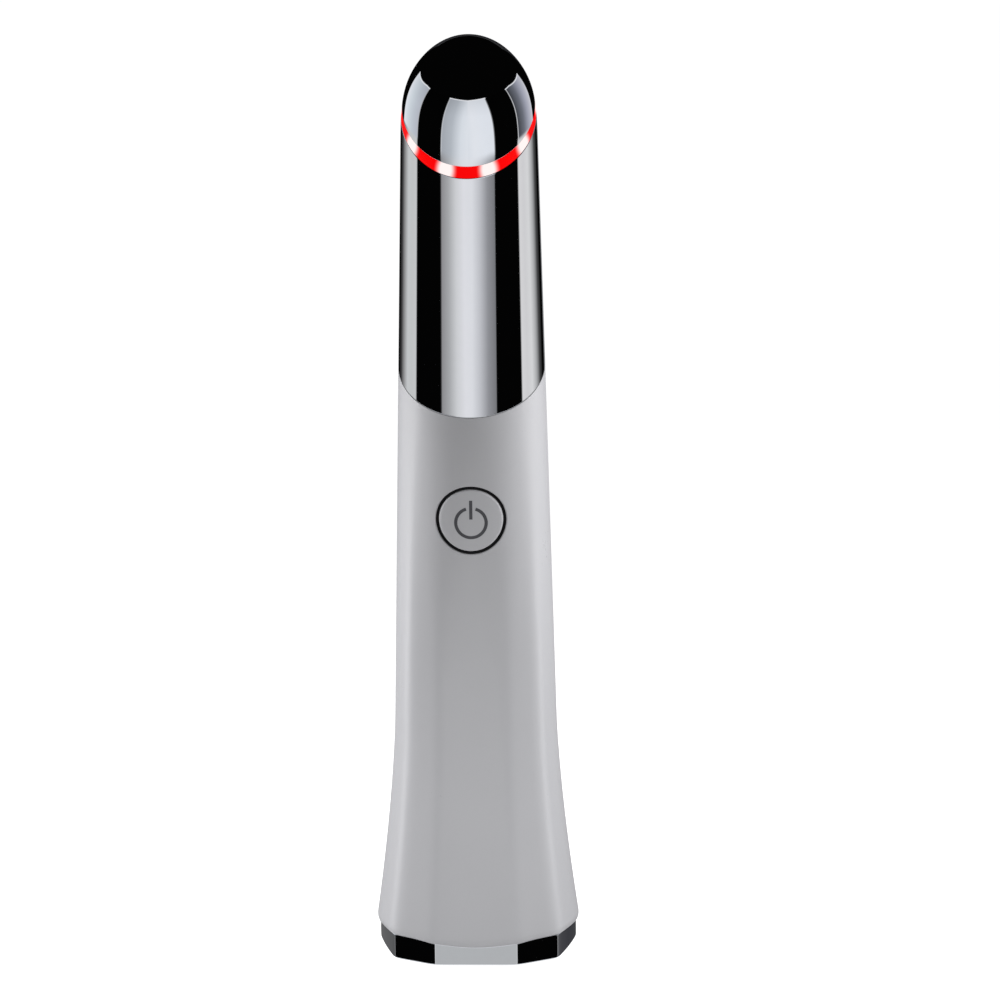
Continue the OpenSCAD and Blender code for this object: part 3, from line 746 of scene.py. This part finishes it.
def makeCasing():
    a = around - 90

    def wallR(z, inset):
        return casingR(a, z, inset)

    low = casing["lipZ"] - casing["lipArch"] * np.cos(np.radians(4 * a))
    outerRows = []
    for along, inwards in arc(8):
        z = low + casing["lipH"] * along
        outerRows.append(polar(a, wallR(z, casing["lipInset"] * inwards), z))
    rim = rimRows(a, seamPlane, -head["seamGap"], casing["seamRound"], -1, wallR)
    base = low + casing["lipH"]
    for share in [*np.arange(1, casing["rows"]) / casing["rows"], casing["lastRow"]]:
        z = base + share * (rim[0][:, 2] - base)
        outerRows.append(polar(a, wallR(z, 0.0), z))
    outerRows += rim
    heights = [row[:, 2] for row in outerRows]
    innerRows = [polar(a, np.where(z > casing["boreZ"], casing["bore"], wallR(z, casing["wall"])), z)
                 for z in heights]
    skin = Skin()
    outer = [skin.row(row) for row in outerRows]
    inner = [skin.row(row) for row in innerRows]
    place = np.array(skin.points)[np.array(outer)]
    cutOut = np.zeros((len(outer), len(a)), bool)  # quads left out, by their lower left corner
    for hole in holes:
        cutOut[cutHole(skin, outer, inner, place, hole)] = True
    for grid in (outer, inner):
        for j, (lower, upper) in enumerate(zip(grid, grid[1:])):
            for i in np.flatnonzero(~cutOut[j]):
                k = (i + 1) % len(a)
                skin.faces.append((lower[i], lower[k], upper[k], upper[i]))
    skin.strip(outer[0], inner[0])
    skin.strip(outer[-1], inner[-1])
    settle(skin.piece("casingShell"), "wand", "satin_grey_plastic", "satinSilver", "lower_casing", sharp=50)


makeCasing()
print("casing ready")


# Button: cap, gasket and mark follow one leaned round face
def frontY(z):
    return -float(casingR(0.0, z))


lean = math.atan((frontY(button["z"] + button["capR"]) - frontY(button["z"] - button["capR"]))
                 / (2 * button["capR"]))
edgeR = float(casingR(button["faceBearing"], button["z"]))
edgeX = edgeR * math.sin(math.radians(button["faceBearing"]))
capSag = -edgeR * math.cos(math.radians(button["faceBearing"])) - frontY(button["z"])
faceR = (edgeX ** 2 + capSag ** 2) / (2 * capSag)
buttonTurn = np.arange(button["columns"]) * 2 * math.pi / button["columns"]


def faceY(x, z, depth=0.0):  # the button's face at x, z
    up = z - button["z"]
    return (frontY(button["z"]) + faceR + depth
            + (up * math.sin(lean) - np.sqrt(faceR ** 2 - x ** 2)) / math.cos(lean))


def faceRow(r, depth=0.0, y=None):  # a round row that follows the face, or a flat one where y is given
    x, z = r * np.cos(buttonTurn), button["z"] + r * np.sin(buttonTurn)
    return np.stack([x, faceY(x, z, depth) if y is None else np.full_like(x, y), z], -1)


def makeCap():
    size, r = button["capRound"], button["capR"]
    top = button["seatY"] + button["flangeH"] + button["flangeGap"]
    bottom = top + button["capFlangeH"]
    rows = [faceRow((r - size) * share) for share in button["rings"]]
    rows += [faceRow(r - size * inwards, size * along) for along, inwards in arc(7)[1:]]
    rows += [faceRow(reach, y=y) for reach, y in (
        (r, top), (button["capFlangeR"], top), (button["capFlangeR"], bottom),
        (button["stemR"], bottom), (button["stemR"], button["stemEnd"]))]
    skin = Skin()
    made = skin.stack(rows)
    skin.fan(made[0], (0, float(faceY(0.0, button["z"])), button["z"]))
    skin.fan(made[-1], (0, button["stemEnd"], button["z"]))
    settle(skin.piece("buttonCap"), "button", "satin_grey_plastic", "satinSilver", "power_button")


def makeGasket():
    inR, outR = button["capR"] + button["capGap"], button["boreR"] - button["boreGap"]
    flangeR = button["seatR"] - button["seatGap"]
    size, back, seat = button["gasketRound"], button["gasketBack"], button["seatY"]
    top = seat + button["flangeH"]
    rows = [faceRow(inR, y=top)]
    rows += [faceRow(inR + size * along, back + size * inwards) for along, inwards in arc(5)]
    rows += [faceRow(outR - size * inwards, back + size * along) for along, inwards in arc(5)]
    rows += [faceRow(outR, y=seat), faceRow(flangeR, y=seat), faceRow(flangeR, y=top)]
    skin = Skin()
    made = skin.stack(rows)
    skin.strip(made[-1], made[0])
    settle(skin.piece("buttonGasket"), "wand", "black_silicone", "blackSilicone", "button_gasket")


# Power mark: a ring open at the top and a bar, filled a hair proud of the cap
mark = dict(ringR=2.25, line=0.56, opening=0.7, drop=0.35, barLow=0.2, barHigh=3.1, depth=0.2, proud=0.012,
            bevel=0.05, segments=72, barSegments=8)


def makeMark():
    half, soft = mark["line"] / 2, mark["bevel"]
    section = [(-half, mark["depth"]), (-half, soft - mark["proud"]), (soft - half, -mark["proud"]),
               (half - soft, -mark["proud"]), (half, soft - mark["proud"]), (half, mark["depth"])]
    skin = Skin()

    def sweep(middles, outwards):
        made = skin.stack([[(mx + ox * w, float(faceY(mx + ox * w, mz + oz * w, d)), mz + oz * w)
                            for w, d in section] for (mx, mz), (ox, oz) in zip(middles, outwards)])
        skin.cap(made[0], made[-1])

    start = math.asin(mark["opening"] / mark["ringR"])
    turns = np.linspace(start, 2 * math.pi - start, mark["segments"])
    centre = button["z"] - mark["drop"]
    sweep([(mark["ringR"] * math.sin(t), centre + mark["ringR"] * math.cos(t)) for t in turns],
          [(math.sin(t), math.cos(t)) for t in turns])
    bar = np.linspace(mark["barLow"], mark["barHigh"], mark["barSegments"])
    sweep([(0.0, button["z"] + z) for z in bar], [(1.0, 0.0)] * len(bar))
    settle(skin.piece("powerMark"), "button", "symbol_ink", "markInk", "power_symbol")


makeCap()
makeGasket()
makeMark()
print("button ready")

# Foot: trim, plate, pad and screws grow from Geometry Nodes, on the outline that the flats give
foot = dict(
    columns=360,
    trim=dict(half=15.0, low=0.3, round=0.12, tongue=13.4, tongueTop=6.0, ledge=11.6, ledgeZ=2.2, inner=12.9,
              lipGap=0.03, shadeRow=0.06),  # a row this close to each rounding keeps its shading short
    plate=dict(half=12.85, low=1.0, top=2.2, round=0.15, flat=0.5),
    pad=dict(half=12.6, low=0.22, top=1.0, round=0.3, flat=0.5, chamfer=0.1),
    studs=dict(pitch=1.7, size=0.52, sides=10, rows=17, margin=1.3, tip=0.72, overlap=0.02, clear=0.004),
    screws=dict(reach=6.2, low=1.0, headR=1.6, headH=0.65, shankR=0.75, long=8.5, pitch=0.45),
    boardScrews=dict(headR=1.2, headH=0.7, shankR=0.7, pitch=0.4),
)
profileMost = (16.0, 8.0, 1.0)  # largest reach, height and share that a profile can hold


def newTree(name, sizes):  # a Geometry Nodes tree with one named input for each size
    tree = bpy.data.node_groups.new(name, "GeometryNodeTree")
    for label, value in sizes.items():
        kind = "NodeSocketInt" if isinstance(value, int) else "NodeSocketFloat"
        tree.interface.new_socket(label, in_out="INPUT", socket_type=kind)
    tree.interface.new_socket("Geometry", in_out="OUTPUT", socket_type="NodeSocketGeometry")
    return tree, tree.nodes.new("NodeGroupInput").outputs


def grow(name, tree, shape, sizes):  # ends the tree and turns what it makes to one plain mesh
    add(tree, "NodeGroupOutput", [add(tree, "GeometryNodeRealizeInstances", [shape])])
    piece = newObject(name, bpy.data.meshes.new(name))
    grower = piece.modifiers.new("grow", "NODES")
    grower.node_group = tree
    for socket in tree.interface.items_tree:
        if socket.in_out == "INPUT":
            grower[socket.identifier] = sizes[socket.name]
    bpy.context.view_layer.update()
    graph = bpy.context.evaluated_depsgraph_get()
    made = bpy.data.meshes.new_from_object(piece.evaluated_get(graph))
    piece.modifiers.remove(grower)
    piece.data = made
    clean(made)
    return piece


def reachNodes(tree, sockets, turn):  # the flats' rule as nodes: reach over the half width
    edge = sockets["Crispness"]
    aside = add(tree, "Math.ABSOLUTE", [add(tree, "Math.SINE", [turn])])
    ahead = add(tree, "Math.ABSOLUTE", [add(tree, "Math.COSINE", [turn])])
    folded = add(tree, "CombineXYZ", [aside, ahead])
    total = 0.0
    for f, distance in nearFlats():
        flat = (math.sin(math.radians(f)) / distance, math.cos(math.radians(f)) / distance, 0)
        dot = add(tree, "VectorMath.DOT_PRODUCT", [folded, flat]).outputs["Value"]
        part = add(tree, "Math.POWER", [add(tree, "Math.MAXIMUM", [dot, 0.0]), edge])
        total = add(tree, "Math.ADD", [total, part])
    reach = add(tree, "Math.POWER", [total, add(tree, "Math.DIVIDE", [-1.0, edge])])
    return add(tree, "Math.DIVIDE", [reach, sockets["Side Reach"]])


def evenSteps(profile, count=33):  # splits the longest steps until the profile has as many as asked
    profile = [np.array(point, float) for point in profile]
    while len(profile) < count:
        steps = [np.hypot(*(b - a)[:2]) for a, b in zip(profile, profile[1:])]
        longest = int(np.argmax(steps))
        profile.insert(longest + 1, (profile[longest] + profile[longest + 1]) / 2)
    return profile


def footNodes(tree, sockets, profile):  # sweeps a profile of (reach, height, follows the lip) round the foot
    profile = evenSteps(profile)
    grid = add(tree, "GeometryNodeMeshGrid", [1.0, 1.0, sockets["Columns"], len(profile)])
    place = add(tree, "SeparateXYZ", [add(tree, "GeometryNodeInputPosition")]).outputs
    turn = add(tree, "Math.MULTIPLY", [add(tree, "Math.ADD", [place[0], 0.5]), 2 * math.pi])
    along = add(tree, "Math.ADD", [place[1], 0.5])
    levels = []
    for k, most in enumerate(profileMost):
        curve = add(tree, "FloatCurve", {"Value": along})
        setCurve(curve, list(zip(np.linspace(0, 1, len(profile)), [point[k] / most for point in profile])))
        levels.append(add(tree, "Math.MULTIPLY", [curve, most]))
    half, height, follow = levels
    r = add(tree, "Math.MULTIPLY", [half, reachNodes(tree, sockets, turn)])
    waves = add(tree, "Math.COSINE", [add(tree, "Math.MULTIPLY", [turn, 4.0])])
    dip = add(tree, "Math.MULTIPLY", [add(tree, "Math.MULTIPLY", [waves, sockets["Lip Arch"]]), follow])
    back = add(tree, "Math.MULTIPLY", [add(tree, "Math.COSINE", [turn]), -1.0])
    spot = add(tree, "CombineXYZ", [
        add(tree, "Math.MULTIPLY", [r, add(tree, "Math.SINE", [turn])]),
        add(tree, "Math.MULTIPLY", [r, back]), add(tree, "Math.SUBTRACT", [height, dip])])
    metres = add(tree, "VectorMath.SCALE", {0: spot, "Scale": mm}).outputs["Vector"]
    bent = add(tree, "GeometryNodeSetPosition", {"Geometry": grid, "Position": metres})
    return add(tree, "GeometryNodeMergeByDistance", {"Geometry": bent, "Distance": 1e-7})


def rounding(h, z, size, start, end, steps=6, follow=0.0):  # part of a rounded edge, in degrees from outwards
    return [(h + size * math.cos(t), z + size * math.sin(t), follow)
            for t in np.radians(np.linspace(start, end, steps))]


footSizes = {"Columns": foot["columns"] + 1, "Crispness": float(wand["crispEdge"]),
             "Side Reach": float(flatsR(90.0, wand["crispEdge"])), "Lip Arch": casing["lipArch"]}


def sweepFoot(name, profile, slot, finish, node):
    tree, sockets = newTree(name, footSizes)
    settle(grow(name, tree, footNodes(tree, sockets, profile), footSizes), "wand", slot, finish, node)


def makeTrim():
    t = foot["trim"]
    lip, top = casing["lipZ"] - t["lipGap"], casing["lipZ"] - t["lipGap"] - t["round"]
    profile = rounding(t["half"] - t["round"], t["low"] + t["round"], t["round"], -90, 0)
    profile += [(t["half"], t["low"] + t["round"] + t["shadeRow"], 0), (t["half"], top - t["shadeRow"], 1)]
    profile += rounding(t["half"] - t["round"], top, t["round"], 0, 90, 4, 1.0)
    profile += [(t["tongue"], lip, 1), (t["tongue"], t["tongueTop"], 0), (t["ledge"], t["tongueTop"], 0),
                (t["ledge"], t["ledgeZ"], 0), (t["inner"], t["ledgeZ"], 0), (t["inner"], t["low"], 0)]
    sweepFoot("footTrim", profile + profile[:1], "polished_chrome", "polishedChrome", "base_trim")


def lowerEdge(t, steps):  # from the middle of the underside out and round its edge
    return ([(0, t["low"], 0), (t["half"] - t["flat"], t["low"], 0)]
            + rounding(t["half"] - t["round"], t["low"] + t["round"], t["round"], -90, 0, steps))


def makePlate():
    t = foot["plate"]
    profile = lowerEdge(t, 4) + rounding(t["half"] - t["round"], t["top"] - t["round"], t["round"], 0, 90, 4)
    sweepFoot("footPlate", profile + [(0, t["top"], 0)], "black_plastic", "blackNylon", "base_plate")


def makePad():  # pressed pad with small grip studs that stand on the table
    t, s = foot["pad"], foot["studs"]
    sizes = dict(footSizes, **{"Stud Pitch": s["pitch"], "Stud Size": s["size"], "Stud Sides": s["sides"],
                               "Stud Rows": s["rows"]})
    tree, sockets = newTree("gripPad", sizes)
    body = footNodes(tree, sockets, lowerEdge(t, 5) + [
        (t["half"], t["top"] - t["chamfer"], 0), (t["half"] - t["chamfer"], t["top"], 0), (0, t["top"], 0)])
    gaps = add(tree, "Math.SUBTRACT", [sockets["Stud Rows"], 1.0])
    span = add(tree, "Math.MULTIPLY", [gaps, add(tree, "Math.MULTIPLY", [sockets["Stud Pitch"], mm])])
    grid = add(tree, "GeometryNodeMeshGrid", [span, span, sockets["Stud Rows"], sockets["Stud Rows"]])
    turned = add(tree, "GeometryNodeTransform", {
        "Geometry": grid, "Rotation": (0, 0, math.radians(45)), "Translation": (0, 0, t["low"] * mm)})
    x, y, _ = add(tree, "SeparateXYZ", [add(tree, "GeometryNodeInputPosition")]).outputs
    turn = add(tree, "Math.ARCTAN2", [x, add(tree, "Math.MULTIPLY", [y, -1.0])])
    most = add(tree, "Math.MULTIPLY", [reachNodes(tree, sockets, turn), (t["half"] - s["margin"]) * mm])
    far = add(tree, "VectorMath.LENGTH", [add(tree, "CombineXYZ", [x, y])]).outputs["Value"]
    outside = add(tree, "Math.GREATER_THAN", [far, most])
    kept = add(tree, "GeometryNodeDeleteGeometry", [turned, outside], domain="POINT")
    wide = add(tree, "Math.MULTIPLY", [sockets["Stud Size"], mm])
    stud = add(tree, "GeometryNodeMeshCone", {
        "Vertices": sockets["Stud Sides"], "Radius Top": wide, "Depth": (t["low"] + s["overlap"]) * mm,
        "Radius Bottom": add(tree, "Math.MULTIPLY", [wide, s["tip"]])}, fill_type="NGON")
    stud = add(tree, "GeometryNodeTransform", {
        "Geometry": stud, "Translation": (0, 0, (s["clear"] - t["low"]) * mm)})
    studs = add(tree, "GeometryNodeInstanceOnPoints", {"Points": kept, "Instance": stud})
    both = add(tree, "GeometryNodeJoinGeometry", [studs])
    tree.links.new(body.outputs[0], both.inputs[0])
    settle(grow("gripPad", tree, both, sizes), "wand", "black_silicone", "blackSilicone", "base_pad")


# Screws: the recess and shank as shares of the head's and the shank's radius
screw = dict(sides=48, arm=0.52, armHalf=0.3, web=0.221, core=0.24, recessEnd=0.6, recessH=0.62, flat=0.72,
             domeH=0.55, plain=0.3, groove=0.82, tip=0.35)


def screwShape(t):  # cross-recessed pan head and a shank with turned grooves, head down at the origin
    turn = np.arange(screw["sides"]) * 2 * math.pi / screw["sides"]
    aside, ahead = np.abs(np.sin(turn)), np.abs(np.cos(turn))
    webs = np.maximum(screw["web"] / np.maximum(aside, ahead), screw["core"])
    cross = np.where(np.minimum(aside, ahead) < screw["armHalf"], screw["arm"], webs) * t["headR"]

    def ringAt(r, z):
        return np.stack([r * np.sin(turn), -r * np.cos(turn), np.full(len(turn), z)], -1)

    rows = [ringAt(cross * screw["recessEnd"], t["headH"] * screw["recessH"]), ringAt(cross, 0.0)]
    rows += [ringAt(t["headR"] * (1 - (1 - screw["flat"]) * inwards), t["headH"] * screw["domeH"] * along)
             for along, inwards in arc(5)]
    rows += [ringAt(t["headR"], t["headH"]), ringAt(t["shankR"], t["headH"])]
    for k in range(int((t["long"] - t["headH"] - 2 * screw["plain"]) / t["pitch"])):
        z = t["headH"] + screw["plain"] + k * t["pitch"]
        rows += [ringAt(t["shankR"] * screw["groove"], z), ringAt(t["shankR"], z + t["pitch"] / 2)]
    rows.append(ringAt(t["shankR"] * screw["tip"], t["long"]))
    skin = Skin()
    made = skin.stack(rows)
    skin.fan(made[0], (0, 0, t["headH"] * screw["recessH"]))
    skin.fan(made[-1], (0, 0, t["long"]))
    return skin.piece("screwShape")


def makeScrews(name, node, t, start, step, tilt):  # one screw shape, set at two places by nodes
    shape = screwShape(t)
    sizes = {"Screws": 2}
    tree, sockets = newTree(name, sizes)
    start, step = (Vector(place) * mm for place in (start, step))
    line = add(tree, "GeometryNodeMeshLine", {
        "Count": sockets["Screws"], "Start Location": start, "Offset": step})
    model = add(tree, "GeometryNodeObjectInfo", {"Object": shape})
    placed = add(tree, "GeometryNodeInstanceOnPoints", {
        "Points": line, "Instance": model.outputs["Geometry"], "Rotation": (math.radians(tilt), 0, 0)})
    piece = grow(name, tree, placed, sizes)
    bpy.data.objects.remove(shape)
    settle(piece, "wand", "zinc_steel", "zincSteel", node)


def makeFootScrews():
    t = foot["screws"]
    makeScrews("footScrews", "base_screws", t, (-t["reach"], 0, t["low"]), (2 * t["reach"], 0, 0), 0)


def makeBoardScrews():
    low, high = (np.array(corner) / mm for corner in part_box("board_screws"))
    t = dict(foot["boardScrews"], long=high[1] - low[1])
    makeScrews("boardScrewPair", "board_screws", t, (0, low[1], low[2] + t["headR"]),
               (0, 0, high[2] - low[2] - 2 * t["headR"]), -90)


makeTrim()
makePlate()
makePad()
makeFootScrews()
makeBoardScrews()
print("foot ready")

# Charging port: a drawn shell with a rolled mouth, and a tongue with gold contacts above and below
socket = dict(
    columns=96,
    roll=0.16,
    wall=0.3,
    groove=(0.0351, 0.1025),  # fine groove in the mouth's face: how far out from the wall, and how deep
    step=0.5,
)
tongue = dict(
    x=3.3,
    z=0.35,
    corner=0.15,
    root=2.2,
    tip=[(0.25, 0), (0.075, 0.08), (0, 0.16)],  # distance from the front, and how much slimmer there
    contacts=12,
    longOnes=(0, 3, 8, 11),
    inset=(0.75, 1.05),  # of the long and the short ones' ends
    pitch=0.5,
    contactW=0.26,
    contactL=3.4,
    sunk=0.02,
    proud=0.03,
    taper=0.7,
    flatten=0.6,  # the tip thins less in height than in width
    sideH=0.5,  # share of the height that the sides keep straight
)


def makeSocket():
    turn = np.arange(socket["columns"]) * 2 * math.pi / socket["columns"]

    def row(inset, y):
        flat = stadium(turn, port["width"], port["height"], -inset)
        return np.stack([flat[:, 0], np.full(len(turn), y), port["z"] + flat[:, 1]], -1)

    front, back, roll, wall = port["mouthY"], port["backY"], socket["roll"], socket["wall"]
    out, deep = socket["groove"]
    rows = [row(0, y) for y in np.linspace(back, front - roll, 5)]
    rows += [row(roll * along, front - roll * inwards) for along, inwards in arc(5)[1:]]
    rows += [row(wall - out, front - deep), row(wall, front), row(wall, front - socket["step"]),
             row(wall, back + wall)]
    skin = Skin()
    made = skin.stack(rows)
    skin.fan(made[-1], (0, back + wall, port["z"]))
    skin.fan(made[0], (0, back, port["z"]))
    settle(skin.piece("portShell"), "wand", "drawn_steel", "nickelSteel", "usb_socket", sharp=50)


def makeTongue(front, back):
    def row(y, slim):
        x, z = tongue["x"] - slim, tongue["z"] - slim * tongue["flatten"]
        flat, side = x - tongue["corner"], z * tongue["sideH"]
        return [(sx, y, port["z"] + sz) for sx, sz in (
            (x, -side), (x, side), (flat, z), (-flat, z), (-x, side), (-x, -side), (-flat, -z), (flat, -z))]

    skin = Skin()
    made = skin.stack([row(back, 0), row(front - tongue["root"], 0)]
                      + [row(front - before, slim) for before, slim in tongue["tip"]])
    skin.cap(made[0], made[-1])
    settle(skin.piece("portTongue"), "wand", "black_plastic", "blackNylon", "usb_tongue", sharp=30)


def makeContacts(front):
    half, count = tongue["contactW"] / 2, tongue["contacts"]
    skin = Skin()
    for side in (1, -1):
        for number in range(count):
            x = (number - (count - 1) / 2) * tongue["pitch"]
            z = port["z"] + side * tongue["z"]
            sunk, proud, top = z - side * tongue["sunk"], z + side * tongue["proud"], half * tongue["taper"]
            end = front - tongue["inset"][0 if number in tongue["longOnes"] else 1]
            made = skin.stack([[(x - half, y, sunk), (x - top, y, proud),
                                (x + top, y, proud), (x + half, y, sunk)]
                               for y in (end - tongue["contactL"], end)])
            skin.cap(made[0], made[-1])
    settle(skin.piece("portContacts"), "wand", "drawn_steel", "goldFlash", sharp=20)


makeSocket()
tongueLow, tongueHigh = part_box("usb_tongue")
makeTongue(tongueHigh[1] / mm, tongueLow[1] / mm)
makeContacts(tongueHigh[1] / mm)
print("port ready")

# CAD nodes that keep their own mesh take these finishes
carried = {
    "switch_body": "blackNylon", "switch_plunger": "creamNylon", "main_board": "greenLaminate",
    "board_chips": "chipEpoxy", "ribbon_connector": "creamNylon", "head_ribbon": "polyimideFilm",
    "chassis": "blackNylon", "neck_seals": "blackSilicone",
    "battery": "shrinkSleeve", "battery_leads": "leadSleeve", "charge_board": "greenLaminate",
    "head_carrier": "whiteAcetal", "led_board": "whiteLaminate", "leds": "ledPackage",
    "heater_plate": "rolledAluminium", "heater_film": "polyimideFilm", "thermistor": "chipEpoxy",
    "motor_boot": "blackSilicone", "motor_can": "nickelSteel", "motor_leads": "motorSleeve",
    "motor_shaft": "nickelSteel", "eccentric_weight": "sinteredTungsten",
}
for nodeName, finish in carried.items():
    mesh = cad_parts[nodeName].data
    mesh.materials.clear()
    mesh.materials.append(finishes[finish])
print("carried parts finished:", len(carried))
